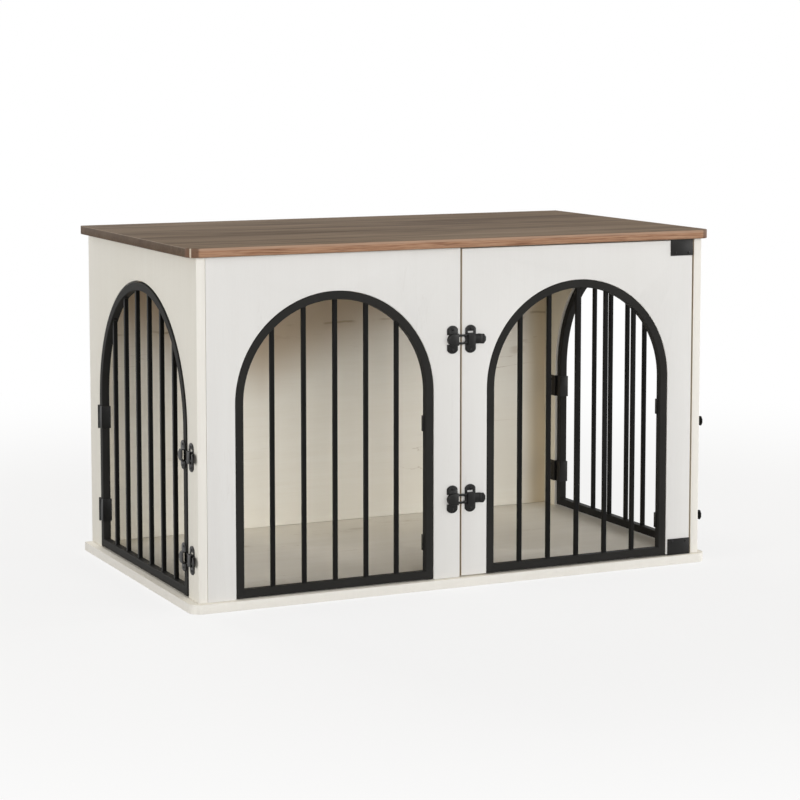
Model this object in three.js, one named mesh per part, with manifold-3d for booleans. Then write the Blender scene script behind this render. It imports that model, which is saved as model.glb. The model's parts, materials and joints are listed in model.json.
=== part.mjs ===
// Dog crate end table: a painted wooden cabin under a walnut top, with black steel grilles.
// The right half of the front is a door on pivots, and each side wall has an arched gate.
// Millimetres, +Z up. The front faces -Y, and the origin is on the floor under the middle.
import * as THREE from 'three';
import * as BufferGeometryUtils from 'three/addons/utils/BufferGeometryUtils.js';
import Module from 'manifold-3d';

const wasm = await Module();
wasm.setup();

// Carcass: the upright panels between the base board and the top board.
const cabinWidth = 922;
const cabinDepth = 541;
const cabinHeight = 548;
const panelThickness = 15;
const seat = 0.3;

// Base and top boards, one outline with rounded front corners.
const baseThickness = 15;
const topThickness = 15;
const sideOverhang = 14;
const frontOverhang = 9;
const cornerRadius = 20;

// Gaps round the front door.
const doorCentreGap = 2;
const doorHingeGap = 2.6;
const doorEndGap = 2;

// Grilles: square tube frames with square bars in the middle of the tube's depth.
const frameTube = 13.5;
const barSize = 7;
const frontArchWidth = 347;
const frontArchTop = 486;
const frontArchClearance = 0.5;
const frontBarCount = 5;
const frontGrilleLift = 2;
const gateSetback = 48;
const gateBackMargin = 57;
const gateWidth = cabinDepth - gateSetback - gateBackMargin;
const gateTop = 486;
const gateClearance = 2.5;
const gateProud = 1.5;
const gateBarCount = 6;
const gateLift = 3;

// Sheet steel for plates, clips, brackets and latches.
const sheet = 1.2;

// Clips that hold the two front grilles to the back of their panels.
const clipHeights = [62, 260];
const clipHeight = 26;
const clipReach = 22;
const clipLip = 6;

// Pivot plates at the door's right corners, their pins, and the bushes in the boards.
const pivotPlateWidth = 44;
const pivotPlateHeight = 28;
const pivotPlateDepth = 13;
const pivotInset = 22;
const pivotPinRadius = 2.5;
const pivotPinLength = 9;
const pivotClearance = 0.3;
const bushWall = 1.2;
const bushEnd = 1.5;

// Slide latches: a guide and a keeper on each side of a gap, and a forked bolt.
const latchPlateWidth = 19.5;
const latchPlateHeight = 46.5;
const latchEndRadius = 11;
const latchSpacing = 33;
const channelHeight = 17.2;
const channelDepth = 4.9;
const bridgeWidth = 13;
const slotWidth = 10.5;
const slotHeight = 3;
const keeperNotch = 8;
const boltClearance = 0.4;
const boltThickness = 1.6;
const boltLift = 2;
const prongHeight = 3.6;
const tipGap = 0.5;
const boltShank = 16;
const tabRise = 4.2;
const tabRamp = 3;
const tabLength = 6.3;
const tabPoint = 3.8;
const tabPointHeight = 6;
const frontLatchHeights = { lower: 132, upper: 397 };
const frontKeeperInset = 15;
const gateLatchHeights = { lower: 65, upper: 230 };
const gateKeeperInset = 1.75;

// Gate hinges: a bracket round the panel's edge, a leaf round the gate's tube, and a pin.
const hingeHeights = { lower: 68, upper: 232 };
const hingeHeight = 39;
const hingeFlange = 24;
const knuckleRadius = 1.9;
const knuckleOut = 2.6;
const knuckleShare = 13;
const knuckleGap = 0.4;
const hingePinRadius = 0.9;
const hingePinClearance = 0.3;
const pinHeadRadius = 1.7;
const pinHeadHeight = 0.8;

// Steps round an arch, round one small curve of an outline, and round a small cylinder.
const archSteps = 36;
const curveSteps = 6;
const roundSteps = 16;

// How far a hole's cutter runs past the face that it opens.
const cutOver = 1;

const walnut = new THREE.MeshStandardMaterial({ color: 0x75614f, roughness: 0.6, metalness: 0 });
const whiteWood = new THREE.MeshStandardMaterial({ color: 0xdddbd4, roughness: 0.7, metalness: 0 });
const blackSteel = new THREE.MeshStandardMaterial({ color: 0x2c2c2b, roughness: 0.45, metalness: 0.6 });

// ---- Solid helpers ----

function toSolid(geometry) {
  const bare = geometry.clone();
  bare.deleteAttribute('normal');
  bare.deleteAttribute('uv');
  const merged = BufferGeometryUtils.mergeVertices(bare);
  const vertProperties = new Float32Array(merged.attributes.position.array);
  const triVerts = new Uint32Array(merged.index.array);
  return new wasm.Manifold(new wasm.Mesh({ numProp: 3, vertProperties, triVerts }));
}

function toGeometry(solid) {
  const mesh = solid.getMesh();
  const geometry = new THREE.BufferGeometry();
  geometry.setAttribute('position', new THREE.BufferAttribute(mesh.vertProperties, 3));
  geometry.setIndex(new THREE.BufferAttribute(mesh.triVerts, 1));
  geometry.computeVertexNormals();
  return geometry;
}

function join(...geometries) {
  const solids = geometries.map(toSolid);
  return toGeometry(solids.reduce((whole, piece) => whole.add(piece)));
}

function cut(geometry, ...tools) {
  const solids = tools.map(toSolid);
  return toGeometry(solids.reduce((whole, tool) => whole.subtract(tool), toSolid(geometry)));
}

function overlap(first, second) {
  return toGeometry(toSolid(first).intersect(toSolid(second)));
}

function block(x0, x1, y0, y1, z0, z1) {
  const geometry = new THREE.BoxGeometry(Math.abs(x1 - x0), Math.abs(y1 - y0), Math.abs(z1 - z0));
  return geometry.translate((x0 + x1) / 2, (y0 + y1) / 2, (z0 + z1) / 2);
}

function rod(radius, x, y, z0, z1) {
  const geometry = new THREE.CylinderGeometry(radius, radius, z1 - z0, roundSteps);
  return geometry.rotateX(Math.PI / 2).translate(x, y, (z0 + z1) / 2);
}

function outline(points) {
  return new THREE.Shape(points.map(([x, y]) => new THREE.Vector2(x, y)));
}

// An outline drawn in X and Y, standing from z0 up to z1.
function flatPlate(shape, z0, z1) {
  const options = { depth: z1 - z0, bevelEnabled: false, curveSegments: curveSteps };
  return new THREE.ExtrudeGeometry(shape, options).translate(0, 0, z0);
}

// An outline drawn in X and Z, reaching back from y0 to y1.
function uprightPlate(shape, y0, y1, steps = curveSteps) {
  const options = { depth: y1 - y0, bevelEnabled: false, curveSegments: steps };
  return new THREE.ExtrudeGeometry(shape, options).rotateX(Math.PI / 2).translate(0, y1, 0);
}

function addPart(parent, name, geometry, material) {
  const mesh = new THREE.Mesh(geometry, material.clone());
  mesh.name = name;
  parent.add(mesh);
  return mesh;
}

// ---- Frames ----

const group = new THREE.Group();
const frontY = -(cabinDepth + frontOverhang) / 2 + frontOverhang;

// A wall's frame: X along the wall, Y into the cabin from the wall's outer face, Z up from the base.
function addWall(x, turn) {
  const wall = new THREE.Group();
  wall.position.set(x, frontY, baseThickness);
  wall.rotation.z = turn;
  group.add(wall);
  return wall;
}

const frontWall = addWall(0, 0);
const leftWall = addWall(-cabinWidth / 2, -Math.PI / 2);
const rightWall = addWall(cabinWidth / 2, Math.PI / 2);

// ---- Boards ----

const pivotHoleRadius = pivotPinRadius + pivotClearance + bushWall + seat;
const pivotHoleDepth = pivotPinLength + pivotClearance + bushEnd + seat;
const doorLeft = doorCentreGap / 2;
const doorRight = cabinWidth / 2 - panelThickness - doorHingeGap;
const pivotX = doorRight - pivotInset;
const pivotY = panelThickness / 2;

function boardShape() {
  const side = cabinWidth / 2 + sideOverhang;
  const front = -frontOverhang;
  const shape = new THREE.Shape();
  shape.moveTo(-side, cabinDepth);
  shape.lineTo(-side, front + cornerRadius);
  shape.absarc(-side + cornerRadius, front + cornerRadius, cornerRadius, Math.PI, 1.5 * Math.PI, false);
  shape.lineTo(side - cornerRadius, front);
  shape.absarc(side - cornerRadius, front + cornerRadius, cornerRadius, 1.5 * Math.PI, 2 * Math.PI, false);
  shape.lineTo(side, cabinDepth);
  return shape;
}

const basePlate = flatPlate(boardShape(), -baseThickness, 0);
const baseHole = rod(pivotHoleRadius, pivotX, pivotY, -pivotHoleDepth, cutOver);
addPart(frontWall, 'base_board', cut(basePlate, baseHole), whiteWood);

const topPlate = flatPlate(boardShape(), cabinHeight, cabinHeight + topThickness);
const topHoleEnd = cabinHeight + pivotHoleDepth;
const topHole = rod(pivotHoleRadius, pivotX, pivotY, cabinHeight - cutOver, topHoleEnd);
addPart(frontWall, 'top_board', cut(topPlate, topHole), walnut);

// ---- Panels ----

// A panel from x0 to x1 and z0 to z1, with an arched doorway open at the bottom.
function archedPanel(x0, x1, z0, z1, archX, archWidth, archTop) {
  const radius = archWidth / 2;
  const spring = archTop - radius;
  const shape = new THREE.Shape();
  shape.moveTo(x0, z0);
  shape.lineTo(archX - radius, z0);
  shape.lineTo(archX - radius, spring);
  shape.absarc(archX, spring, radius, Math.PI, 0, true);
  shape.lineTo(archX + radius, z0);
  shape.lineTo(x1, z0);
  shape.lineTo(x1, z1);
  shape.lineTo(x0, z1);
  return uprightPlate(shape, 0, panelThickness, archSteps);
}

const panelBottom = seat;
const panelTop = cabinHeight - seat;
const innerHalf = cabinWidth / 2 - panelThickness;

const backShape = outline([
  [-innerHalf + seat, panelBottom],
  [innerHalf - seat, panelBottom],
  [innerHalf - seat, panelTop],
  [-innerHalf + seat, panelTop],
]);
const backPanel = uprightPlate(backShape, cabinDepth - panelThickness, cabinDepth);
addPart(frontWall, 'back_panel', backPanel, whiteWood);

const fixedLeft = -innerHalf + seat;
const fixedRight = -doorCentreGap / 2;
const fixedArchX = (fixedLeft + fixedRight) / 2;
const doorArchX = (doorLeft + doorRight) / 2;
const frontOpening = frontArchWidth + 2 * frontArchClearance;
const frontOpeningTop = frontArchTop + frontArchClearance;

const fixedPanel = archedPanel(
  fixedLeft, fixedRight, panelBottom, panelTop, fixedArchX, frontOpening, frontOpeningTop);
addPart(frontWall, 'front_fixed_panel', fixedPanel, whiteWood);

const doorBottom = doorEndGap;
const doorTop = cabinHeight - doorEndGap;
const doorPanel = archedPanel(
  doorLeft, doorRight, doorBottom, doorTop, doorArchX, frontOpening, frontOpeningTop);
addPart(frontWall, 'door_panel', doorPanel, whiteWood);

// ---- Grilles ----

function archShape(centreX, width, bottom, top) {
  const radius = width / 2;
  const spring = top - radius;
  const shape = new THREE.Shape();
  shape.moveTo(centreX - radius, bottom);
  shape.lineTo(centreX + radius, bottom);
  shape.lineTo(centreX + radius, spring);
  shape.absarc(centreX, spring, radius, 0, Math.PI, false);
  return shape;
}

// An arched tube frame with evenly spaced upright bars let into it.
function archedGrille(centreX, width, bottom, top, barCount, y0) {
  const frame = archShape(centreX, width, bottom, top);
  const hole = archShape(centreX, width - 2 * frameTube, bottom + frameTube, top - frameTube);
  frame.holes.push(hole);
  const middleRadius = (width - frameTube) / 2;
  const spring = top - width / 2;
  const innerWidth = width - 2 * frameTube;
  const pitch = (innerWidth + barSize) / (barCount + 1);
  const barBack = y0 + (frameTube - barSize) / 2;
  const bars = [];
  for (let i = 0; i < barCount; i += 1) {
    const offset = (i - (barCount - 1) / 2) * pitch;
    const x = centreX + offset;
    const barTop = spring + Math.sqrt(middleRadius ** 2 - offset ** 2);
    const barBottom = bottom + frameTube / 2;
    bars.push(block(x - barSize / 2, x + barSize / 2, barBack, barBack + barSize, barBottom, barTop));
  }
  return join(uprightPlate(frame, y0, y0 + frameTube, archSteps), ...bars);
}

function frontGrille(centreX) {
  return archedGrille(centreX, frontArchWidth, frontGrilleLift, frontArchTop, frontBarCount, 0);
}

addPart(frontWall, 'fixed_grille', frontGrille(fixedArchX), blackSteel);
addPart(frontWall, 'door_grille', frontGrille(doorArchX), blackSteel);

// ---- Grille clips ----

// A clip behind the panel that steps over the frame tube and turns in beside it.
// inward is +1 where the grille lies on the clip's +X side.
function clipGeometry(inward) {
  const tubeEdge = -seat;
  const woodEdge = frameTube + frontArchClearance - seat;
  const tubeBack = frameTube + seat;
  const woodBack = panelThickness + seat;
  const points = [
    [tubeEdge - sheet, tubeBack - clipLip],
    [tubeEdge, tubeBack - clipLip],
    [tubeEdge, tubeBack],
    [woodEdge, tubeBack],
    [woodEdge, woodBack],
    [frameTube + clipReach, woodBack],
    [frameTube + clipReach, woodBack + sheet],
    [woodEdge - sheet, woodBack + sheet],
    [woodEdge - sheet, tubeBack + sheet],
    [tubeEdge - sheet, tubeBack + sheet],
  ];
  const shape = outline(points.map(([x, y]) => [-inward * x, y]));
  return flatPlate(shape, -clipHeight / 2, clipHeight / 2);
}

function addClips(prefix, archX) {
  for (const [end, z] of [['lower', clipHeights[0]], ['upper', clipHeights[1]]]) {
    for (const [side, inward] of [['left', 1], ['right', -1]]) {
      const clip = addPart(frontWall, `${prefix}_clip_${side}_${end}`, clipGeometry(inward), blackSteel);
      clip.position.set(archX - inward * (frontArchWidth / 2 - frameTube), 0, z);
    }
  }
}

addClips('fixed_grille', fixedArchX);
addClips('door_grille', doorArchX);

// ---- Door pivots ----

// An angle plate on the door's corner with a pivot pin; up is +1 at the top and -1 at the bottom.
function pivotPlate(up) {
  const legOuter = seat + sheet;
  const frontLeg = block(
    -pivotPlateWidth + pivotInset, pivotInset,
    -pivotY - legOuter, -pivotY - seat,
    up * (legOuter - pivotPlateHeight), up * legOuter);
  const endLeg = block(
    -pivotPlateWidth + pivotInset, pivotInset,
    -pivotY - legOuter, -pivotY + pivotPlateDepth,
    up * seat, up * legOuter);
  const pinStart = up * (seat + sheet / 2);
  const pinEnd = up * (doorEndGap + pivotPinLength);
  const pin = rod(pivotPinRadius, 0, 0, Math.min(pinStart, pinEnd), Math.max(pinStart, pinEnd));
  return join(frontLeg, endLeg, pin);
}

// A closed bush, standing up from its mouth at z = 0.
function pivotBush() {
  const boreRadius = pivotPinRadius + pivotClearance;
  const boreDepth = pivotPinLength + pivotClearance;
  const body = rod(boreRadius + bushWall, 0, 0, 0, boreDepth + bushEnd);
  return cut(body, rod(boreRadius, 0, 0, -cutOver, boreDepth));
}

const topPivot = addPart(frontWall, 'door_top_pivot_plate', pivotPlate(1), blackSteel);
topPivot.position.set(pivotX, pivotY, doorTop);
const bottomPivot = addPart(frontWall, 'door_bottom_pivot_plate', pivotPlate(-1), blackSteel);
bottomPivot.position.set(pivotX, pivotY, doorBottom);
const topBush = addPart(frontWall, 'door_top_pivot_bush', pivotBush(), blackSteel);
topBush.position.set(pivotX, pivotY, cabinHeight);
const bottomBush = addPart(frontWall, 'door_bottom_pivot_bush', pivotBush(), blackSteel);
bottomBush.position.set(pivotX, pivotY, 0);
bottomBush.rotation.x = Math.PI;

// ---- Slide latches ----

const channelHalf = channelHeight / 2;
const raisedHalf = channelHalf + sheet;
const channelTop = seat + channelDepth;
const plateHalf = latchPlateWidth / 2;

// A plate with bowed ends, centred on the origin, lying against the wall's outer face.
function latchPlate() {
  const half = latchPlateHeight / 2;
  const sweep = Math.asin(plateHalf / latchEndRadius);
  const centre = half - latchEndRadius;
  const shape = new THREE.Shape();
  shape.absarc(0, centre, latchEndRadius, Math.PI / 2 - sweep, Math.PI / 2 + sweep, false);
  shape.absarc(0, -centre, latchEndRadius, 1.5 * Math.PI - sweep, 1.5 * Math.PI + sweep, false);
  return uprightPlate(shape, -seat - sheet, -seat);
}

// The guide: a strap over a window in the plate, which the bolt slides under, and a slot above it.
function latchGuide() {
  const half = bridgeWidth / 2;
  const bridge = block(-half, half, -channelTop - sheet, -seat, -raisedHalf, raisedHalf);
  const under = block(
    -half - cutOver, half + cutOver, -channelTop, cutOver, -channelHalf, channelHalf);
  const window = block(-half, half, -channelTop, cutOver, -channelHalf, channelHalf);
  const slotLow = raisedHalf + seat;
  const slot = block(
    -slotWidth / 2, slotWidth / 2, -channelTop, cutOver, slotLow, slotLow + slotHeight);
  return join(cut(latchPlate(), window, slot), cut(bridge, under));
}

// An outline with a round far end, open towards the mouth.
function pocketShape(mouth, half, toBolt) {
  const centre = -plateHalf + raisedHalf;
  const shape = new THREE.Shape();
  shape.moveTo(toBolt * mouth, half);
  shape.lineTo(toBolt * centre, half);
  const start = Math.PI / 2;
  shape.absarc(toBolt * centre, 0, half, start, -start, toBolt < 0);
  shape.lineTo(toBolt * mouth, -half);
  return shape;
}

// The keeper: a pressed pocket, open on the side that the bolt comes from, with the plate
// cut away beside the pocket's round end.
function latchKeeper(toBolt) {
  const far = -toBolt * (plateHalf + cutOver);
  const notch = block(far, 0, -channelTop, cutOver, -keeperNotch, keeperNotch);
  const dome = uprightPlate(pocketShape(plateHalf, raisedHalf, toBolt), -channelTop - sheet, -seat);
  const hollowShape = pocketShape(latchPlateWidth, channelHalf, toBolt);
  const pressed = join(cut(latchPlate(), notch), dome);
  return cut(pressed, uprightPlate(hollowShape, -channelTop, cutOver));
}

// The bolt: two prongs, a flat shank under the bridge and a raised thumb tab; tab is its side.
function latchBolt(tab) {
  const half = channelHalf - boltClearance;
  const tip = -latchSpacing + plateHalf + tipGap;
  const rampEnd = boltShank + tabRamp;
  const tabEnd = rampEnd + tabLength;
  const low = -boltLift;
  const high = low - boltThickness;
  const profile = outline([
    [tip, low],
    [boltShank, low],
    [rampEnd, low - tabRise],
    [tabEnd, low - tabRise],
    [tabEnd, high - tabRise],
    [rampEnd, high - tabRise],
    [boltShank, high],
    [tip, high],
  ].map(([x, y]) => [tab * x, y]));
  const prongInner = half - prongHeight;
  const slotEnd = -plateHalf;
  const plan = outline([
    [tip, -half],
    [tabEnd - tabPoint, -half],
    [tabEnd, -tabPointHeight / 2],
    [tabEnd, tabPointHeight / 2],
    [tabEnd - tabPoint, half],
    [tip, half],
  ].map(([x, z]) => [tab * x, z]));
  const fork = new THREE.Shape();
  fork.moveTo(tab * (tip - cutOver), prongInner);
  fork.lineTo(tab * (tip - cutOver), -prongInner);
  fork.lineTo(tab * (slotEnd - prongInner), -prongInner);
  fork.absarc(tab * (slotEnd - prongInner), 0, prongInner, -Math.PI / 2, Math.PI / 2, tab < 0);
  const bent = flatPlate(profile, -half, half);
  const front = high - tabRise - cutOver;
  const back = low + cutOver;
  return cut(overlap(bent, uprightPlate(plan, front, back)), uprightPlate(fork, front, back));
}

// One latch at height z on a wall: tab is +1 where the bolt is pulled towards +X to open it.
function addLatch(wall, prefix, guideX, z, tab, keeperY) {
  const guide = addPart(wall, `${prefix}_latch_guide`, latchGuide(), blackSteel);
  guide.position.set(guideX, 0, z);
  const bolt = addPart(wall, `${prefix}_latch_bolt`, latchBolt(tab), blackSteel);
  bolt.position.set(guideX, 0, z);
  const keeper = addPart(wall, `${prefix}_latch_keeper`, latchKeeper(tab), blackSteel);
  keeper.position.set(guideX - tab * latchSpacing, keeperY, z);
}

const frontGuideX = fixedRight - frontKeeperInset + latchSpacing;
for (const [end, z] of Object.entries(frontLatchHeights)) {
  addLatch(frontWall, `front_${end}`, frontGuideX, z, 1, 0);
}

// ---- Gate hinges ----

const gateBack = gateSetback + gateWidth;
const openingBack = gateBack + gateClearance;
const knuckleV = openingBack - seat;
const knuckleLow = (hingeHeight - knuckleShare) / 2;
const pinHole = hingePinRadius + hingePinClearance;

// Coordinates here are along: the distance back from the front edge; out: beyond the wall's face.
function hingeParts(side) {
  const box = (along0, along1, out0, out1, z0, z1) => block(
    side * along0, side * along1, -out0, -out1, z0, z1);
  const bore = rod(pinHole, side * knuckleV, -knuckleOut, -cutOver, hingeHeight + cutOver);
  const knuckle = (z0, z1) => rod(knuckleRadius, side * knuckleV, -knuckleOut, z0, z1);

  const innerFace = -panelThickness - seat;
  const webFront = openingBack - seat - sheet;
  const webBack = openingBack - seat;
  const webOut = knuckleOut - knuckleRadius - knuckleGap;
  const fixedEnds = [
    [0, knuckleLow - knuckleGap],
    [hingeHeight - knuckleLow + knuckleGap, hingeHeight],
  ];
  const bracketPieces = [
    box(webFront, webBack, innerFace - sheet, webOut, 0, hingeHeight),
    box(webFront, webFront + hingeFlange, innerFace - sheet, innerFace, 0, hingeHeight),
  ];
  for (const [z0, z1] of fixedEnds) {
    bracketPieces.push(box(webFront, webBack, webOut - sheet, knuckleOut - hingePinRadius, z0, z1));
    bracketPieces.push(knuckle(z0, z1));
  }
  const bracket = cut(join(...bracketPieces), bore);

  const outerPlate = gateProud + seat;
  const innerPlate = gateProud - frameTube - seat;
  const tubeFront = gateBack - frameTube - seat;
  const leafEnd = knuckleV - knuckleRadius - knuckleGap;
  const channel = outline([
    [leafEnd, outerPlate + sheet],
    [tubeFront - sheet, outerPlate + sheet],
    [tubeFront - sheet, innerPlate - sheet],
    [leafEnd, innerPlate - sheet],
    [leafEnd, innerPlate],
    [tubeFront, innerPlate],
    [tubeFront, outerPlate],
    [leafEnd, outerPlate],
  ].map(([along, out]) => [side * along, -out]));
  const moving0 = knuckleLow;
  const moving1 = hingeHeight - knuckleLow;
  const leaf = cut(join(
    flatPlate(channel, 0, hingeHeight),
    box(leafEnd - sheet, knuckleV, outerPlate, outerPlate + sheet, moving0, moving1),
    knuckle(moving0, moving1)), bore);

  const pinLow = -seat - pinHeadHeight;
  const pinHigh = hingeHeight + seat + pinHeadHeight;
  const pin = join(
    rod(hingePinRadius, side * knuckleV, -knuckleOut, pinLow, pinHigh),
    rod(pinHeadRadius, side * knuckleV, -knuckleOut, pinLow, -seat),
    rod(pinHeadRadius, side * knuckleV, -knuckleOut, hingeHeight + seat, pinHigh));
  return { hinge_bracket: bracket, hinge_leaf: leaf, hinge_pin: pin };
}

// ---- Side walls: panel, gate, hinges and latches ----

// side is +1 on the right wall and -1 on the left, whose X axis runs forward.
function addSide(wall, name, side) {
  const guideX = side * (gateSetback + gateKeeperInset + plateHalf - latchSpacing);
  const archX = side * (gateSetback + gateWidth / 2);
  const x0 = Math.min(0, side * cabinDepth);
  const x1 = Math.max(0, side * cabinDepth);
  const openingWidth = gateWidth + 2 * gateClearance;
  const panel = archedPanel(
    x0, x1, panelBottom, panelTop, archX, openingWidth, gateTop + gateClearance);
  addPart(wall, `${name}_side_panel`, panel, whiteWood);
  const gate = archedGrille(archX, gateWidth, gateLift, gateTop, gateBarCount, -gateProud);
  addPart(wall, `${name}_gate_grille`, gate, blackSteel);
  for (const [end, z] of Object.entries(hingeHeights)) {
    for (const [piece, geometry] of Object.entries(hingeParts(side))) {
      const mesh = addPart(wall, `${name}_${end}_${piece}`, geometry, blackSteel);
      mesh.position.z = z - hingeHeight / 2;
    }
  }
  for (const [end, z] of Object.entries(gateLatchHeights)) {
    addLatch(wall, `${name}_${end}`, guideX, z, -side, -gateProud);
  }
}

addSide(leftWall, 'left', -1);
addSide(rightWall, 'right', 1);

export default group;
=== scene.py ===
import json
import math
import bmesh
import bpy
from mathutils import Matrix, Vector

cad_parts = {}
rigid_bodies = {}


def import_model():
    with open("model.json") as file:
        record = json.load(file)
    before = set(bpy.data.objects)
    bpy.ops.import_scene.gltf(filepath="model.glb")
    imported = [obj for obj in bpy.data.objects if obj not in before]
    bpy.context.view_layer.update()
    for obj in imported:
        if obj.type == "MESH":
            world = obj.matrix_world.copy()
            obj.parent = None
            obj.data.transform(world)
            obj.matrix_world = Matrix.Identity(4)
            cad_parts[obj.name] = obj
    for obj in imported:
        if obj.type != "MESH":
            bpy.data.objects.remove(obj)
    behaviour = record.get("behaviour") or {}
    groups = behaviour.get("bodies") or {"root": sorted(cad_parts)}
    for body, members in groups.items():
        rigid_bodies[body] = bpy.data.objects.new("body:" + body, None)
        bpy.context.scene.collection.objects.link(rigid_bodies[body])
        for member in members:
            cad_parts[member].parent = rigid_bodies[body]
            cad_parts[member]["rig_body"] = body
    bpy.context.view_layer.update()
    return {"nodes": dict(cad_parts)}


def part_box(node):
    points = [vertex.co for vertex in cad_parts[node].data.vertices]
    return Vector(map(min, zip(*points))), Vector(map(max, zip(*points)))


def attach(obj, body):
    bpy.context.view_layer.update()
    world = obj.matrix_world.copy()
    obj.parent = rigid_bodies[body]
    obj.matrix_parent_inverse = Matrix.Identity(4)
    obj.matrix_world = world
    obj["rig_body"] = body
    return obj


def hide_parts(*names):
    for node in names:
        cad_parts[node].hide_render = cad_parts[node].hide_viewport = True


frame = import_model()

scene = bpy.context.scene
scene.view_settings.view_transform = "Standard"

# camera: a long lens low at the left front corner, dropped by a small shift
camera = {
    "place": (-1.7502, -3.7484, 0.8822), "yaw": 25.211, "pitch": 5.942,
    "lens": 107.645, "sensor": 36, "shift": -0.125, "near": 0.05, "far": 100}

cameraData = bpy.data.cameras.new("tableCamera")
cameraData.lens = camera["lens"]
cameraData.sensor_width = camera["sensor"]
cameraData.shift_y = camera["shift"]
cameraData.clip_start = camera["near"]
cameraData.clip_end = camera["far"]
cameraObject = bpy.data.objects.new("tableCamera", cameraData)
cameraObject.location = camera["place"]
cameraObject.rotation_euler = (math.radians(90 - camera["pitch"]), 0, math.radians(-camera["yaw"]))
scene.collection.objects.link(cameraObject)
scene.camera = cameraObject
print("camera placed")


# one socket of a node tree, so that values can be written as expressions
class Wire:
    def __init__(self, graph, socket):
        self.graph = graph
        self.socket = socket

    def other(self, name):
        return Wire(self.graph, self.socket.node.outputs[name])

    def __add__(self, value):
        return self.graph.math("ADD", self, value)

    def __sub__(self, value):
        return self.graph.math("SUBTRACT", self, value)

    def __rsub__(self, value):
        return self.graph.math("SUBTRACT", value, self)

    def __mul__(self, value):
        return self.graph.math("MULTIPLY", self, value)

    def __truediv__(self, value):
        return self.graph.math("DIVIDE", self, value)

    def __rtruediv__(self, value):
        return self.graph.math("DIVIDE", value, self)

    def __neg__(self):
        return self.graph.math("MULTIPLY", self, -1.0)

    __radd__ = __add__
    __rmul__ = __mul__


# a shader or geometry tree; add() makes any node: kind, settings, inputs by name or number, output
class Graph:
    def __init__(self, tree):
        self.tree = tree

    def add(self, kind, settings=None, inputs=None, out=0):
        node = self.tree.nodes.new(kind)
        for name, value in (settings or {}).items():
            if name == "stops":
                self.setStops(node.color_ramp, value)
            else:
                setattr(node, name, value)
        for key, value in (inputs or {}).items():
            for item in value if isinstance(value, list) else [value]:
                if isinstance(item, Wire):
                    self.tree.links.new(item.socket, node.inputs[key])
                else:
                    node.inputs[key].default_value = item
        return Wire(self, node.outputs[out]) if out is not None else node

    def setStops(self, ramp, stops):
        while len(ramp.elements) < len(stops):
            ramp.elements.new(0.5)
        for element, (position, colour) in zip(ramp.elements, stops):
            element.position = position
            element.color = (*colour, 1)

    def math(self, operation, *values):
        return self.add("ShaderNodeMath", {"operation": operation}, dict(enumerate(values)))

    def rise(self, low, high, value):  # 0 at low and 1 at high, eased; falls where low is the larger
        settings = {"interpolation_type": "SMOOTHSTEP"}
        return self.add("ShaderNodeMapRange", settings, {"Value": value, "From Min": low, "From Max": high})

    def line(self, value, centre, width):  # 1 on a level of value, fading over its width
        return self.rise(width, width * 0.35, self.math("ABSOLUTE", value - centre))

    def mix(self, factor, first, second):
        ends = [(*end, 1) if isinstance(end, tuple) else end for end in (first, second)]
        return self.add("ShaderNodeMix", {"data_type": "RGBA"}, {0: factor, 6: ends[0], 7: ends[1]}, out=2)

    def place(self):
        return self.add("ShaderNodeTexCoord", out="Object")

    def axis(self, name):  # object coordinates along one axis
        return self.add("ShaderNodeSeparateXYZ", None, {0: self.place()}, out=name)

    def vector(self, x, y, z):
        return self.add("ShaderNodeCombineXYZ", None, {"X": x, "Y": y, "Z": z})

    def stretched(self, along, run, fine, shift=0.0):  # object coordinates, drawn out along one axis
        scale = {"X": (run, fine, fine), "Y": (fine, run, fine), "Z": (fine, fine, run)}[along]
        moved = self.add("ShaderNodeVectorMath", {"operation": "ADD"}, {0: self.place(), 1: (shift,) * 3})
        return self.add("ShaderNodeVectorMath", {"operation": "MULTIPLY"}, {0: moved, 1: scale})

    def noise(self, vector, detail=3.0, roughness=0.55, distortion=0.0, scale=1.0):
        values = {"Vector": vector, "Scale": scale, "Detail": detail, "Roughness": roughness}
        return self.add("ShaderNodeTexNoise", None, {**values, "Distortion": distortion})


def newMaterial(name):
    material = bpy.data.materials.new(name)
    material.use_nodes = True
    return material, Graph(material.node_tree), material.node_tree.nodes["Principled BSDF"]


def connect(graph, wire, node, name):
    graph.tree.links.new(wire.socket, node.inputs[name])


def addBump(graph, shader, height, depth, strength):
    values = {"Height": height, "Distance": depth, "Strength": strength}
    connect(graph, graph.add("ShaderNodeBump", None, values), shader, "Normal")


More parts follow.
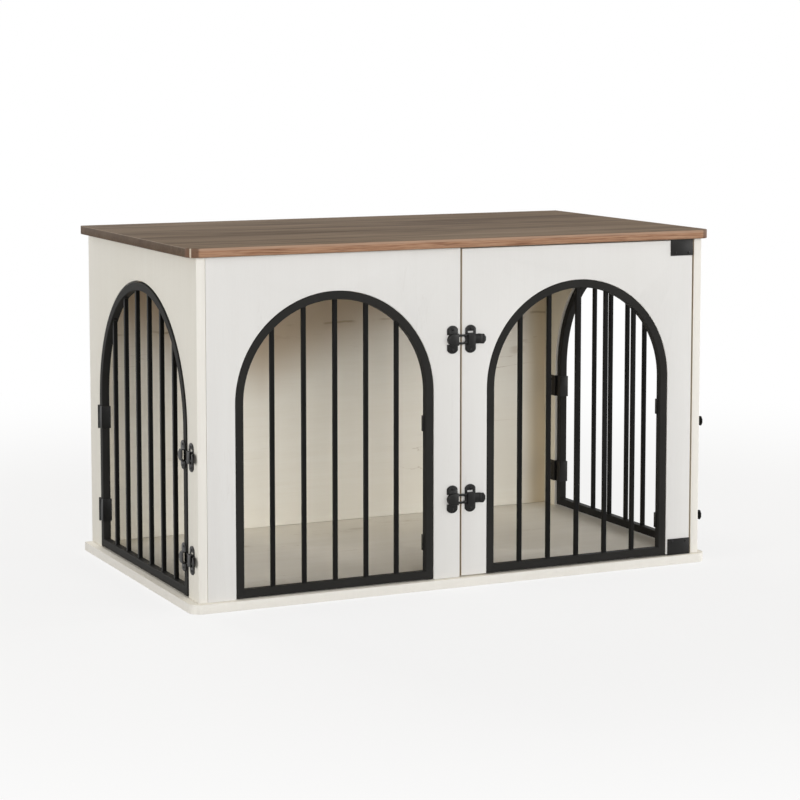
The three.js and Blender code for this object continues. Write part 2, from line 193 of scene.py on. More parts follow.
# white wood: a pale wash over faint grain, with short dark cracks, small knots and broad clouds
def whiteWood(name, look):
    material, graph, shader = newMaterial(name)
    along = look["along"]
    shift = look["shift"]
    grain = graph.noise(graph.stretched(along, 2.4, 46, shift), detail=6, roughness=0.62, distortion=0.5)
    fibre = graph.noise(graph.stretched(along, 14, 330, shift), detail=3, roughness=0.6)
    cloud = graph.noise(graph.stretched(along, 1.1, 5.5, shift + 3), detail=2)
    pale = graph.mix(graph.rise(0.36, 0.66, grain * 0.62 + fibre * 0.38), look["low"], look["high"])
    clouded = graph.mix(graph.rise(0.42, 0.72, cloud) * look["clouds"], pale, look["cloud"])

    crackField = graph.noise(graph.stretched(along, 3.4, 30, shift + 9), detail=4, distortion=0.9)
    crackHere = graph.noise(graph.stretched(along, 3.2, 8.5, shift + 17), detail=1)
    crack = graph.line(crackField, 0.5, 0.0085) * graph.rise(0.585, 0.66, crackHere)
    cell = graph.add("ShaderNodeTexVoronoi", None, {
        "Vector": graph.stretched(along, 3.6, 7.5, shift), "Scale": 1.0, "Randomness": 1.0}, out="Distance")
    chosen = graph.rise(0.70, 0.74, graph.add("ShaderNodeSeparateColor", None, {0: cell.other("Color")}))
    wobble = cell + (grain - 0.5) * 0.09
    knot = graph.rise(0.085, 0.03, wobble) * chosen
    halo = graph.rise(0.26, 0.07, wobble) * chosen
    haloed = graph.mix(halo * look["knots"] * 0.35, clouded, look["halo"])
    darkest = graph.math("MAXIMUM", crack * look["cracks"], knot * look["knots"])
    marked = graph.mix(darkest, haloed, look["dark"])
    if "shade" in look:  # painted shade: darker and warmer towards the cabin's top, reaching lowest at X = middle
        low, high, paintedShadeColour, amount, middle, lean = look["shade"]
        level = graph.axis("Z") - graph.math("ABSOLUTE", graph.axis("X") - middle) * lean
        marked = graph.mix(graph.rise(low, high, level) * amount, marked, paintedShadeColour)
    if "corner" in look:  # and painted shade, darker and warmer, in the cabin's back corner on the right
        low, high, paintedCornerShadeColour, amount = look["corner"]
        marked = graph.mix(graph.rise(low, high, graph.axis("X")) * amount, marked, paintedCornerShadeColour)
    if "gaps" in look:  # the board's bare edge round the corner into each gap, widened onto the front as painted gap shade
        across = graph.axis("X")
        for level, width in look["gaps"]:
            marked = graph.mix(graph.line(across, level, width) * 0.75, marked, look["bare"])
    if "joint" in look:  # a printed joint across the panel, wavy and broken
        wave = graph.noise(graph.stretched("X", 9, 4, 2), detail=3, roughness=0.7)
        broken = graph.rise(0.42, 0.60, graph.noise(graph.stretched("X", 16, 3, 6), detail=2))
        level = graph.axis("Z") + (wave - 0.5) * 0.022
        seam = graph.line(level, look["joint"], 0.0030) * broken
        shade = graph.rise(0.016, 0.0, graph.math("ABSOLUTE", level - look["joint"])) * broken
        marked = graph.mix(graph.math("MAXIMUM", seam * 0.75, shade * 0.16), marked, look["dark"])
    connect(graph, marked, shader, "Base Color")
    connect(graph, 0.52 + grain * 0.16, shader, "Roughness")
    shader.inputs["Specular IOR Level"].default_value = 0.35
    addBump(graph, shader, fibre * 0.5 + grain * 0.5 - crack * look["cracks"], 0.00025, 0.35)
    return material


# walnut: brown figure drawn out along the board, with dark streaks and fine pores
def walnutWood(name, look):
    material, graph, shader = newMaterial(name)
    figure = graph.noise(graph.stretched("X", 1.5, 11, 5), detail=5, roughness=0.6, distortion=1.1)
    streak = graph.noise(graph.stretched("X", 3.6, 78, 2), detail=5, roughness=0.62, distortion=0.3)
    pore = graph.noise(graph.stretched("X", 13, 520), detail=3, roughness=0.6)
    parts = look["parts"]
    tone = figure * parts[0] + streak * parts[1] + pore * parts[2]
    colour = graph.add("ShaderNodeValToRGB", {"stops": look["stops"]}, {"Fac": tone}, out="Color")
    dark = graph.rise(0.56, 0.70, pore if parts[2] > parts[1] else streak) * look["streaks"]
    colour = graph.mix(dark, colour, look["streak"])
    if "rims" in look:  # a painted highlight along the band's upper rim, and a darker line along its lower rim
        height = graph.axis("Z")
        for level, width, rimHighlightAndLineColour, amount in look["rims"]:
            colour = graph.mix(graph.line(height, level, width) * amount, colour, rimHighlightAndLineColour)
    if "turn" in look:  # round the corner the band darkens, and a pale seam ends it on the left
        depth = graph.axis("Y")
        colour = graph.mix(graph.rise(*look["turn"], depth) * 0.85, colour, look["turned"])
        seam = graph.line(depth, look["seam"], 0.0016) * graph.rise(0.0, -0.1, graph.axis("X"))
        colour = graph.mix(seam * 0.9, colour, look["seamColour"])
    connect(graph, colour, shader, "Base Color")
    connect(graph, look["roughness"] + streak * 0.14, shader, "Roughness")
    shader.inputs["Specular IOR Level"].default_value = look["shine"]
    addBump(graph, shader, pore * 0.6 + streak * 0.4, 0.0002, 0.4)
    return material


# black paint on steel: satin, with the fine skin of a powder coat
def blackSteel(name, look):
    material, graph, shader = newMaterial(name)
    place = graph.place()
    patch = graph.noise(place, detail=3, scale=14)
    skin = graph.noise(place, detail=2, scale=1500)
    connect(graph, graph.mix(graph.rise(0.3, 0.7, patch), look["low"], look["high"]), shader, "Base Color")
    connect(graph, look["roughness"] + patch * 0.12, shader, "Roughness")
    shader.inputs["Metallic"].default_value = 0.0
    shader.inputs["Specular IOR Level"].default_value = look["shine"]
    addBump(graph, shader, skin, 0.00003, 0.3)
    return material


whiteLook = {
    "along": "Z", "shift": 0.0, "clouds": 0.5, "cracks": 0.06, "knots": 0.05,
    "high": (0.756, 0.755, 0.750), "low": (0.742, 0.740, 0.733), "cloud": (0.736, 0.732, 0.720),
    "halo": (0.62, 0.585, 0.51), "dark": (0.30, 0.25, 0.20), "bare": (0.40, 0.325, 0.225),
}
materials = {
    # the gap lines: the bare edge at each gap, widened with painted shade beside it
    "front": whiteWood("whiteWoodFront", {**whiteLook, "gaps": [(0.0, 0.0029), (0.4447, 0.0031)]}),
    "gap": whiteWood("bareBoardEdge", {
        **whiteLook, "high": (0.50, 0.42, 0.30), "low": (0.42, 0.34, 0.235), "cloud": (0.46, 0.385, 0.275)}),
    "side": whiteWood("whiteWoodSide", {
        **whiteLook, "shift": 4.0, "clouds": 0.6, "cracks": 0.10, "knots": 0.12,
        "high": (0.800, 0.785, 0.730), "low": (0.780, 0.762, 0.705), "cloud": (0.765, 0.746, 0.685)}),
    "back": whiteWood("whiteWoodBack", {
        **whiteLook, "along": "X", "shift": 11.0, "clouds": 0.7, "cracks": 0.38, "knots": 0.35, "joint": 0.385,
        "high": (0.955, 0.930, 0.850), "low": (0.930, 0.898, 0.810), "cloud": (0.91, 0.870, 0.775),
        # the shade entry is painted shade, darker and warmer towards the cabin's top
        "dark": (0.40, 0.31, 0.20), "shade": (0.225, 0.36, (0.525, 0.41, 0.28), 0.88, -0.14, 0.40),
        # the corner entry is painted shade in the cabin's back right corner
        "corner": (0.385, 0.437, (0.60, 0.47, 0.28), 0.70)}),
    # the cabin's inner faces: a darker, warmer copy of the white wood, painted shade
    "inner": whiteWood("whiteWoodInner", {
        **whiteLook, "shift": 41.0, "clouds": 0.6, "cracks": 0.20, "knots": 0.15,
        "high": (0.755, 0.705, 0.585), "low": (0.730, 0.677, 0.552), "cloud": (0.715, 0.658, 0.53),
        # the shade entry is painted shade, darker and warmer towards the cabin's top
        "shade": (0.32, 0.54, (0.55, 0.43, 0.28), 0.60, 0.0, 0.0)}),
    "base": whiteWood("whiteWoodBase", {
        **whiteLook, "along": "X", "shift": 23.0, "clouds": 0.6, "cracks": 0.32, "knots": 0.26,
        "high": (0.925, 0.893, 0.815), "low": (0.885, 0.848, 0.760), "cloud": (0.87, 0.828, 0.73),
        "dark": (0.40, 0.31, 0.20)}),
    "band": whiteWood("whiteEdgeBand", {
        **whiteLook, "shift": 31.0, "cracks": 0.0, "knots": 0.0,
        "high": (0.835, 0.820, 0.780), "low": (0.810, 0.793, 0.750), "cloud": (0.80, 0.780, 0.735)}),
    "walnutTop": walnutWood("walnutTop", {
        "stops": [(0.40, (0.130, 0.090, 0.060)), (0.50, (0.248, 0.182, 0.126)), (0.61, (0.365, 0.278, 0.202))],
        "parts": (0.50, 0.34, 0.16), "streak": (0.118, 0.080, 0.053), "streaks": 0.65,
        "roughness": 0.62, "shine": 0.04}),
    "walnutFront": walnutWood("walnutFrontBand", {
        "stops": [(0.41, (0.200, 0.098, 0.056)), (0.50, (0.345, 0.190, 0.113)), (0.59, (0.470, 0.290, 0.188))],
        "parts": (0.20, 0.15, 0.65), "streak": (0.135, 0.064, 0.037), "streaks": 0.9,
        "roughness": 0.45, "shine": 0.14,
        # rims: a painted highlight along the upper rim and a darker line along the lower
        "rims": [(0.5778, 0.0052, (0.420, 0.285, 0.205), 0.75), (0.5630, 0.0022, (0.215, 0.130, 0.085), 0.7)],
        "turn": (-0.27498, -0.2741), "turned": (0.130, 0.075, 0.050),
        "seam": -0.2674, "seamColour": (0.66, 0.58, 0.47)}),
    "walnutSide": walnutWood("walnutSideBand", {
        "stops": [(0.38, (0.065, 0.041, 0.027)), (0.50, (0.105, 0.071, 0.047)), (0.62, (0.165, 0.118, 0.082))],
        "parts": (0.30, 0.30, 0.40), "streak": (0.050, 0.031, 0.020), "streaks": 0.6,
        # and a painted highlight along its upper rim
        "roughness": 0.50, "shine": 0.07, "rims": [(0.5780, 0.0016, (0.300, 0.230, 0.170), 0.8)]}),
    # the bars: a darker copy of the black steel, painted shade
    "bars": blackSteel("blackBars", {
        "low": (0.0055, 0.0053, 0.0051), "high": (0.0085, 0.0082, 0.0078), "roughness": 0.30, "shine": 0.08}),
    "steel": blackSteel("blackSteel", {
        "low": (0.0235, 0.0231, 0.0222), "high": (0.0275, 0.0270, 0.0260), "roughness": 0.40, "shine": 0.03}),
    "hardware": blackSteel("blackHardware", {
        "low": (0.0060, 0.0058, 0.0056), "high": (0.0095, 0.0092, 0.0088), "roughness": 0.26, "shine": 0.22}),
}
print("materials made")


def linkPiece(name, mesh, body, nodes=()):
    piece = bpy.data.objects.new(name, mesh)
    scene.collection.objects.link(piece)
    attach(piece, body)
    if nodes:
        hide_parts(*nodes)
    return piece


# lengths in metres and angles in degrees
easing = {"join": 2e-6, "flat": 0.4, "sharp": 28, "segments": 2, "crownSharp": 34.4, "crownSegments": 4}


# a copy of a CAD node with its flat faces whole and its edges eased
def easedCopy(node, radius, pick, crown=None):
    source = frame["nodes"][node]
    shape = bmesh.new()
    shape.from_mesh(source.data)
    bmesh.ops.remove_doubles(shape, verts=shape.verts, dist=easing["join"])
    bmesh.ops.dissolve_limit(
        shape, angle_limit=math.radians(easing["flat"]), verts=shape.verts, edges=shape.edges, delimit=set())
    shape.normal_update()
    if "_latch_" in node:  # faces round a window or a mouth are cut into convex ones
        bmesh.ops.connect_verts_concave(shape, faces=shape.faces)
        shape.normal_update()
    if crown:  # pressed metal: a larger round along the outermost rim
        sharp = math.radians(easing["crownSharp"])
        edges = [edge for edge in shape.edges if edge.calc_face_angle(0) > sharp and crown["where"](edge)]
        bmesh.ops.bevel(
            shape, geom=edges, offset=crown["radius"], offset_type="OFFSET", segments=easing["crownSegments"],
            profile=0.5, affect="EDGES", clamp_overlap=True)
        shape.normal_update()
    names = []
    for face in shape.faces:
        face.smooth = True
        key = pick(face)
        if key not in names:
            names.append(key)
        face.material_index = names.index(key)
    mesh = bpy.data.meshes.new(node + "_eased")
    shape.to_mesh(mesh)
    shape.free()
    for key in names:
        mesh.materials.append(materials[key])
    piece = linkPiece(node + "_eased", mesh, source["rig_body"], [node])
    bevel = piece.modifiers.new("easedEdges", "BEVEL")
    bevel.width = radius
    bevel.segments = easing["segments"]
    bevel.limit_method = "ANGLE"
    bevel.angle_limit = math.radians(easing["sharp"])
    bevel.harden_normals = True
    return piece


# the boards; frontFrom is where the rounded corners begin, and the gaps are the front's cut ends
boards = {"ease": 0.0011, "panelEase": 0.0007, "frontFrom": -0.2549, "middleGap": 0.002, "hingeGap": 0.44}


def pickBase(item):
    return "base" if abs(item.normal.z) > 0.7 else "band"


def pickTop(item):  # the front band goes round both rounded corners
    if abs(item.normal.z) > 0.7:
        return "walnutTop"
    return "walnutFront" if item.calc_center_median().y < boards["frontFrom"] else "walnutSide"


def pickWall(axis, inward, outer, inner):  # a wall's outer and inner faces differ: the inner ones take a darker, warmer copy of the white wood, painted shade
    def pick(item):
        facing = item.normal[axis] * inward
        return inner if facing > 0.7 else outer if facing < -0.7 else "band"
    return pick


def pickFront(item):  # the two halves of the front: bare board at the gaps, edge band elsewhere
    if abs(item.normal.y) > 0.7:
        return "front" if item.normal.y < 0 else "inner"
    across = item.calc_center_median().x
    atGap = abs(across) < boards["middleGap"] or across > boards["hingeGap"]
    return "gap" if atGap and abs(item.normal.x) > 0.99 else "band"


easedCopy("base_board", boards["ease"], pickBase)
easedCopy("top_board", boards["ease"], pickTop)
easedCopy("front_fixed_panel", boards["panelEase"], pickFront)
easedCopy("door_panel", boards["panelEase"], pickFront)
easedCopy("back_panel", boards["panelEase"], pickWall(1, -1, "side", "back"))
for sideName, inward in (("left", 1), ("right", -1)):
    easedCopy(sideName + "_side_panel", boards["panelEase"], pickWall(0, inward, "side", "inner"))
print("boards made")


# a geometry tree with its named inputs; finishTree ends it in real geometry with its steel
def newTree(name, inputs):
    tree = bpy.data.node_groups.new(name, "GeometryNodeTree")
    for label, kind in inputs:
        tree.interface.new_socket(name=label, in_out="INPUT", socket_type="NodeSocket" + kind)
    tree.interface.new_socket(name="Geometry", in_out="OUTPUT", socket_type="NodeSocketGeometry")
    graph = Graph(tree)
    return tree, graph, graph.add("NodeGroupInput")


def finishTree(graph, pieces, steel, shadedBarSteel=None):
    joined = graph.add("GeometryNodeJoinGeometry", None, {"Geometry": pieces})
    real = graph.add("GeometryNodeRealizeInstances", None, {"Geometry": joined})
    painted = graph.add("GeometryNodeSetMaterial", None, {"Geometry": real, "Material": steel})
    if shadedBarSteel:  # the bars were marked, and take a darker copy of the steel, painted shade
        marked = graph.add(
            "GeometryNodeInputNamedAttribute", {"data_type": "BOOLEAN"}, {"Name": "isBar"}, out="Attribute")
        painted = graph.add("GeometryNodeSetMaterial", None, {
            "Geometry": painted, "Selection": marked, "Material": shadedBarSteel})
    graph.add("NodeGroupOutput", None, {"Geometry": painted}, out=None)


# an arch of square tube, a bottom rail, evenly spaced bars and their welds
def buildGrilleTree():
    tree, graph, given = newTree("archedGrille", [
        ("Width", "Float"), ("Bottom", "Float"), ("Top", "Float"), ("Tube", "Float"), ("Bar", "Float"),
        ("Bars", "Int"), ("Steps", "Int"), ("Corner", "Float"), ("Weld", "Float"), ("Steel", "Material"),
        ("Bar Steel", "Material")])
    width, bottom, top, tube, bar = (given.other(key) for key in ("Width", "Bottom", "Top", "Tube", "Bar"))
    bars, steps, corner, weld, steel, shadedBarSteel = (
        given.other(key) for key in ("Bars", "Steps", "Corner", "Weld", "Steel", "Bar Steel"))
    middle = (width - tube) / 2
    spring = top - width / 2
    vector = graph.vector

    def profile(size, radius):
        square = graph.add("GeometryNodeCurvePrimitiveQuadrilateral", None, {"Width": size, "Height": size})
        values = {"Curve": square, "Count": 3, "Radius": radius, "Limit Radius": True}
        return graph.add("GeometryNodeFilletCurve", {"mode": "POLY"}, values)

    def sweep(path, size, radius):
        values = {"Curve": path, "Profile Curve": profile(size, radius), "Fill Caps": True}
        return graph.add("GeometryNodeCurveToMesh", None, values)

    # the arch's middle line: a foot, the half circle, and the other foot
    points = graph.add("GeometryNodeMeshLine", None, {"Count": steps + 3})
    index = graph.add("GeometryNodeInputIndex")
    turn = graph.math("MINIMUM", graph.math("MAXIMUM", (index - 1) / steps, 0.0), 1.0) * math.pi
    atFoot = graph.math(
        "MAXIMUM", graph.math("LESS_THAN", index, 0.5), graph.math("GREATER_THAN", index, steps + 1.5))
    archZ = spring + middle * graph.math("SINE", turn) - (spring - bottom) * atFoot
    archPlace = vector(middle * graph.math("COSINE", turn), 0.0, archZ)
    moved = graph.add("GeometryNodeSetPosition", None, {"Geometry": points, "Position": archPlace})
    path = graph.add("GeometryNodeMeshToCurve", None, {"Mesh": moved})
    level = graph.add("GeometryNodeSetCurveNormal", {"mode": "FREE"}, {"Curve": path, "Normal": (0, 1, 0)})
    arch = sweep(level, tube, corner)

    railHalf = middle - tube * 0.45
    railZ = bottom + tube / 2
    rail = sweep(graph.add("GeometryNodeCurvePrimitiveLine", None, {
        "Start": vector(-railHalf, 0.0, railZ), "End": vector(railHalf, 0.0, railZ)}), tube, corner)

    # bars between the rail's middle and the arch's middle line
    pitch = (width - tube * 2 + bar) / (bars + 1)
    first = -(pitch * (bars - 1)) / 2
    row = graph.add("GeometryNodeMeshLine", None, {
        "Count": bars, "Start Location": vector(first, 0.0, 0.0), "Offset": vector(pitch, 0.0, 0.0)})
    across = graph.add("ShaderNodeSeparateXYZ", None, {0: graph.add("GeometryNodeInputPosition")}).other("X")
    height = spring + graph.math("SQRT", middle * middle - across * across) - railZ
    unitBar = sweep(graph.add("GeometryNodeCurvePrimitiveLine", None, {
        "Start": (0, 0, 0), "End": (0, 0, 1)}), bar, corner * 0.7)
    unitBar = graph.add("GeometryNodeStoreNamedAttribute", {"data_type": "BOOLEAN", "domain": "FACE"}, {
        "Geometry": unitBar, "Name": "isBar", "Value": True})
    feet = graph.add("GeometryNodeSetPosition", None, {"Geometry": row, "Offset": vector(0.0, 0.0, railZ)})
    uprights = graph.add("GeometryNodeInstanceOnPoints", None, {
        "Points": feet, "Instance": unitBar, "Scale": vector(1.0, 1.0, height)})

    # a low bead of weld at each end of a bar
    ball = graph.add("GeometryNodeMeshUVSphere", None, {"Segments": 16, "Rings": 8, "Radius": weld})
    inner = middle - tube / 2
    beads = []
    for rise in (bottom + tube, spring + graph.math("SQRT", inner * inner - across * across)):
        spots = graph.add("GeometryNodeSetPosition", None, {"Geometry": row, "Offset": vector(0.0, 0.0, rise)})
        beads.append(graph.add("GeometryNodeInstanceOnPoints", None, {
            "Points": spots, "Instance": ball, "Scale": (1.0, 1.0, 0.42)}))
    finishTree(graph, [arch, rail, uprights, *beads], steel, shadedBarSteel)
    return tree


# runs a tree on a holder object, and gives back its result as a plain mesh
def growMesh(name, tree, values, seedMesh=None):
    holder = bpy.data.objects.new(name + "Holder", seedMesh or bpy.data.meshes.new(name + "Holder"))
    modifier = holder.modifiers.new("grow", "NODES")
    modifier.node_group = tree
    for item in tree.interface.items_tree:
        if item.item_type == "SOCKET" and item.in_out == "INPUT" and item.name in values:
            modifier[item.identifier] = values[item.name]
    scene.collection.objects.link(holder)
    grown = holder.evaluated_get(bpy.context.evaluated_depsgraph_get())
    mesh = bpy.data.meshes.new_from_object(grown)
    mesh.name = name
    holder.modifiers.remove(modifier)
    bpy.data.objects.remove(holder)
    shape = bmesh.new()
    shape.from_mesh(mesh)
    bmesh.ops.connect_verts_concave(shape, faces=shape.faces)
    shape.to_mesh(mesh)
    shape.free()
    mesh.shade_smooth()
    mesh.set_sharp_from_angle(angle=math.radians(40))
    return mesh


# the front's grilles lie along X and the gates' along Y
grilles = {
    "tube": 0.0135, "bar": 0.007, "steps": 56, "corner": 0.0013, "weld": 0.0047, "bars": {"X": 5, "Y": 6},
    "lies": {"fixed_grille": "X", "door_grille": "X", "left_gate_grille": "Y", "right_gate_grille": "Y"}}
grilleTree = buildGrilleTree()
for node, axis in grilles["lies"].items():
    low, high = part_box(node)
    centre = (low + high) / 2
    wide = high.x - low.x if axis == "X" else high.y - low.y
    grilleMesh = growMesh(node + "_tubes", grilleTree, {
        "Width": wide, "Bottom": low.z, "Top": high.z, "Tube": grilles["tube"], "Bar": grilles["bar"],
        "Bars": grilles["bars"][axis], "Steps": grilles["steps"], "Corner": grilles["corner"],
        "Weld": grilles["weld"], "Steel": materials["steel"], "Bar Steel": materials["bars"]})
    turn = Matrix.Rotation(0 if axis == "X" else math.pi / 2, 4, "Z")
    grilleMesh.transform(Matrix.Translation((centre.x, centre.y, 0)) @ turn)
    grille = linkPiece(node + "_tubes", grilleMesh, frame["nodes"][node]["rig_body"], [node])
    grille.modifiers.new("flatSides", "WEIGHTED_NORMAL").keep_sharp = True
print("grilles made")

# latches, pivot plates, hinges and clips: eased copies of the sheet steel, and where their screws sit
latches = {"ease": 0.0003, "domeRound": 0.0010, "plate": 0.0012, "screwUp": 0.0172, "slack": 2e-5}
pivotPlates = {"ease": 0.0003, "screwEdge": 0.0048, "screwAlong": 0.0133}
clips = {"ease": 0.00025, "screwEdge": 0.0105}
hinges = {"ease": 0.00025, "screwEdge": 0.0105, "screwUp": 0.0115}
latchNames = [side + "_" + end for side in ("front", "left", "right") for end in ("lower", "upper")]
outward = {"front": Vector((0, -1, 0)), "left": Vector((-1, 0, 0)), "right": Vector((1, 0, 0))}


def pickHardware(item):
    return "hardware"


def outerFace(node, out):  # the middle of a node's box, moved out to its face
    low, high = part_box(node)
    middle = (low + high) / 2
    half = (high - low) / 2
    return middle + Vector([out[i] * half[i] for i in range(3)])


def domeRim(name, out):  # picks the pressed rim of a keeper's dome, but not its cut mouth
    slide = 0 if out.x == 0 else 1
    low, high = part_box(name + "_latch_keeper")
    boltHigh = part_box(name + "_latch_bolt")[1]
    mouth = high[slide] if boltHigh[slide] > high[slide] else low[slide]
    level = outerFace(name + "_latch_keeper", out).dot(out)
    slack = latches["slack"]

    def where(edge):
        atLevel = all(v.co.dot(out) > level - slack for v in edge.verts)
        return atLevel and not all(abs(v.co[slide] - mouth) < slack for v in edge.verts)
    return where


for name in latchNames:
    out = outward[name.split("_")[0]]
    crown = {"radius": latches["domeRound"], "where": domeRim(name, out)}
    easedCopy(name + "_latch_keeper", latches["ease"], pickHardware, crown)
    easedCopy(name + "_latch_guide", latches["ease"], pickHardware)
    easedCopy(name + "_latch_bolt", latches["ease"], pickHardware)

for name in ("door_top_pivot_plate", "door_bottom_pivot_plate"):
    easedCopy(name, pivotPlates["ease"], pickHardware)
for name in frame["nodes"]:
    if "_clip_" in name:
        easedCopy(name, clips["ease"], pickHardware)
    if name.endswith("hinge_bracket") or name.endswith("hinge_leaf"):
        easedCopy(name, hinges["ease"], pickHardware)
    if name.endswith("hinge_pin") or name.endswith("pivot_bush"):
        frame["nodes"][name].material_slots[0].material = materials["hardware"]
print("hardware made")


# a domed screw head with a cross recess on each point, turned at random
def buildScrewTree():
    tree, graph, given = newTree("crossScrews", [
        ("Geometry", "Geometry"), ("Radius", "Float"), ("Height", "Float"), ("Recess", "Float"),
        ("Seed", "Int"), ("Steel", "Material")])
    radius, height, recess = (given.other(key) for key in ("Radius", "Height", "Recess"))
    seed, steel = given.other("Seed"), given.other("Steel")
    ball = graph.add("GeometryNodeMeshUVSphere", None, {"Segments": 28, "Rings": 16, "Radius": radius})
    squashed = graph.add("GeometryNodeTransform", None, {
        "Geometry": ball, "Scale": graph.vector(1.0, 1.0, height / radius)})
    cutters = []
    for wide, deep in ((radius * 1.3, recess), (recess, radius * 1.3)):
        slot = graph.add("GeometryNodeMeshCube", None, {"Size": graph.vector(wide, deep, height * 1.1)})
        cutters.append(graph.add("GeometryNodeTransform", None, {
            "Geometry": slot, "Translation": graph.vector(0.0, 0.0, height * 0.95)}))
    head = graph.add("GeometryNodeMeshBoolean", {"operation": "DIFFERENCE"}, {
        "Mesh 1": squashed, "Mesh 2": cutters})
    facing = graph.add(
        "GeometryNodeInputNamedAttribute", {"data_type": "FLOAT_VECTOR"}, {"Name": "facing"}, out="Attribute")
    upright = graph.add("FunctionNodeAlignRotationToVector", {"axis": "Z"}, {"Vector": facing})
    spin = graph.add("FunctionNodeRandomValue", {"data_type": "FLOAT"}, {
        "Min": 0.0, "Max": 3.1, "Seed": seed}, out=1)
    turned = graph.add("FunctionNodeRotateRotation", {"rotation_space": "LOCAL"}, {
        "Rotation": upright, "Rotate By": graph.vector(0.0, 0.0, spin)})
    heads = graph.add("GeometryNodeInstanceOnPoints", None, {
        "Points": given, "Instance": head, "Rotation": turned})
    finishTree(graph, [heads], steel)
    return tree


screwSize = {"Radius": 0.0024, "Height": 0.0011, "Recess": 0.0007, "Seed": 7}
screwSpots = {}


def addScrew(node, spot, facing):
    screwSpots.setdefault(frame["nodes"][node]["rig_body"], []).append((spot, facing))


for name in latchNames:
    out = outward[name.split("_")[0]]
    for piece in ("_latch_guide", "_latch_keeper"):
        face = outerFace(name + piece, -out) + out * latches["plate"]
        for up in (-1, 1):
            addScrew(name + piece, face + Vector((0, 0, up * latches["screwUp"])), out)

for name in ("door_top_pivot_plate", "door_bottom_pivot_plate"):
    low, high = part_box(name)
    edge = pivotPlates["screwEdge"]
    middle = Vector(((low.x + high.x) / 2, low.y, low.z + edge if "_top_" in name else high.z - edge))
    for side in (-1, 1):
        addScrew(name, middle + Vector((side * pivotPlates["screwAlong"], 0, 0)), Vector((0, -1, 0)))

for name in frame["nodes"]:
    if "_clip_" in name:
        low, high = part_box(name)
        across = low.x + clips["screwEdge"] if "_left_" in name else high.x - clips["screwEdge"]
        addScrew(name, Vector((across, high.y, (low.z + high.z) / 2)), Vector((0, 1, 0)))
    if name.endswith("hinge_bracket"):
        low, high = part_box(name)
        inward = 1 if name.startswith("left") else -1
        faceX = high.x if inward > 0 else low.x
        for up in (-hinges["screwUp"], hinges["screwUp"]):
            spot = Vector((faceX, high.y - hinges["screwEdge"], (low.z + high.z) / 2 + up))
            addScrew(name, spot, Vector((inward, 0, 0)))

screwTree = buildScrewTree()
for body, spots in screwSpots.items():
    seedMesh = bpy.data.meshes.new(body + "_screwSpots")
    seedMesh.from_pydata([tuple(spot) for spot, facing in spots], [], [])
    facings = seedMesh.attributes.new("facing", "FLOAT_VECTOR", "POINT")
    facings.data.foreach_set("vector", [value for spot, facing in spots for value in facing])
    screwMesh = growMesh(body + "_screws", screwTree, {**screwSize, "Steel": materials["hardware"]}, seedMesh)
    linkPiece(body + "_screws", screwMesh, body)
print("screws made")

# stage: a pale floor that fades to white, and a white world for what the camera and the gloss see
stage = {"half": 30.0, "level": -0.0003, "lift": 0.78, "near": 0.75, "far": 2.2, "floor": (0.90, 0.895, 0.885)}


def seenRay(graph):  # 1 for camera, glossy and transmission rays
    ray = graph.add("ShaderNodeLightPath", out="Is Camera Ray")
    shiny = graph.math("MAXIMUM", ray.other("Is Glossy Ray"), ray.other("Is Transmission Ray"))
    return graph.math("MAXIMUM", ray, shiny)


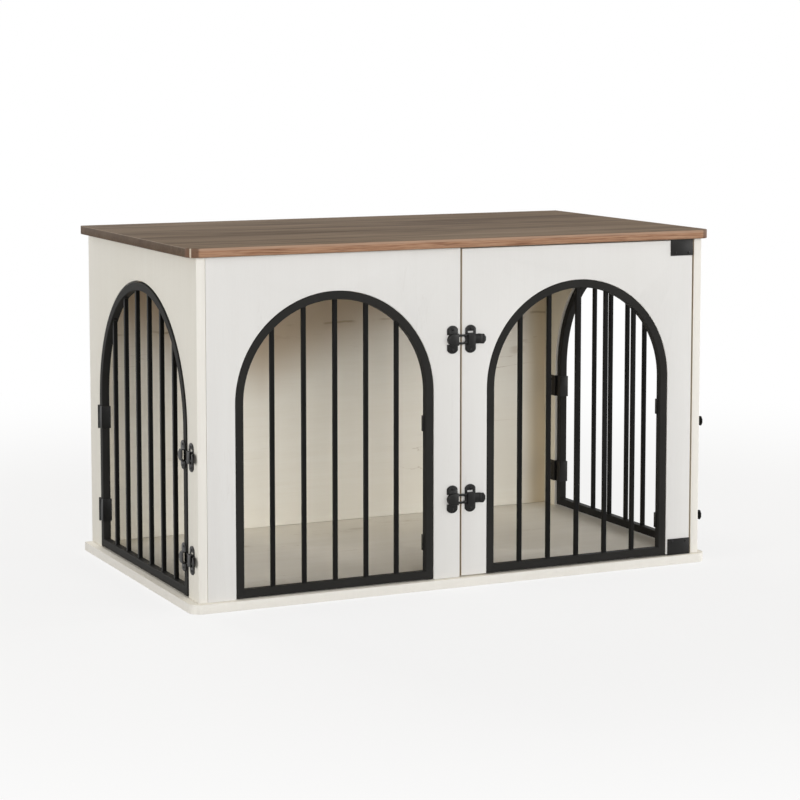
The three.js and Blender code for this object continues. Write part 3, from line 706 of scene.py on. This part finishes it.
floorMesh = bpy.data.meshes.new("floor")
half, level = stage["half"], stage["level"]
floorMesh.from_pydata(
    [(-half, -half, level), (half, -half, level), (half, half, level), (-half, half, level)],
    [], [(0, 1, 2, 3)])
floorMaterial = bpy.data.materials.new("floorPaper")
floorMaterial.use_nodes = True
floorMaterial.node_tree.nodes.clear()
floorGraph = Graph(floorMaterial.node_tree)
fromMiddle = floorGraph.add("ShaderNodeVectorMath", {"operation": "LENGTH"}, {
    0: floorGraph.place()}, out="Value")
away = floorGraph.rise(stage["near"], stage["far"], fromMiddle)
whiteShare = seenRay(floorGraph) * (stage["lift"] + (1 - stage["lift"]) * away)
paper = floorGraph.add("ShaderNodeBsdfDiffuse", None, {"Color": (*stage["floor"], 1)})
glow = floorGraph.add("ShaderNodeEmission", None, {"Color": (1, 1, 1, 1), "Strength": 1.0})
floorMixed = floorGraph.add("ShaderNodeMixShader", None, {0: whiteShare, 1: paper, 2: glow})
floorGraph.add("ShaderNodeOutputMaterial", None, {"Surface": floorMixed}, out=None)
floorMesh.materials.append(floorMaterial)
floorObject = bpy.data.objects.new("floor", floorMesh)
scene.collection.objects.link(floorObject)

lampAim = Vector((0, 0, 0.28))
lamps = {
    "frontLamp": {"place": (-0.3, -5.4, 1.5), "size": 2.6, "power": 100, "colour": (1.0, 0.995, 0.985)},
    "rightFrontLamp": {"place": (3.8, -4.2, 1.6), "size": 2.6, "power": 76, "colour": (1.0, 0.995, 0.985)},
    "rightLamp": {"place": (5.0, -0.6, 1.3), "size": 2.4, "power": 104, "colour": (1.0, 0.985, 0.96)},
    "leftLamp": {"place": (-5.0, -1.2, 1.4), "size": 2.4, "power": 98, "colour": (1.0, 0.985, 0.96)},
    "backLamp": {"place": (-0.8, 5.2, 3.0), "size": 2.8, "power": 120, "colour": (1.0, 0.99, 0.97)},
}
for name, lamp in lamps.items():
    light = bpy.data.lights.new(name, "AREA")
    light.shape = "SQUARE"
    light.size = lamp["size"]
    light.energy = lamp["power"]
    light.color = lamp["colour"]
    lampObject = bpy.data.objects.new(name, light)
    lampObject.location = lamp["place"]
    aim = lampAim - Vector(lamp["place"])
    lampObject.rotation_euler = aim.to_track_quat("-Z", "Y").to_euler()
    scene.collection.objects.link(lampObject)

room = {"strength": 0.20, "colour": (1, 0.95, 0.87)}
world = bpy.data.worlds.new("whiteRoom")
scene.world = world
world.use_nodes = True
world.node_tree.nodes.clear()
worldGraph = Graph(world.node_tree)
dim = worldGraph.add("ShaderNodeBackground", None, {
    "Color": (*room["colour"], 1), "Strength": room["strength"]})
bright = worldGraph.add("ShaderNodeBackground", None, {"Color": (1, 1, 1, 1), "Strength": 1.0})
worldMixed = worldGraph.add("ShaderNodeMixShader", None, {0: seenRay(worldGraph), 1: dim, 2: bright})
worldGraph.add("ShaderNodeOutputWorld", None, {"Surface": worldMixed}, out=None)
print("stage and lamps made")
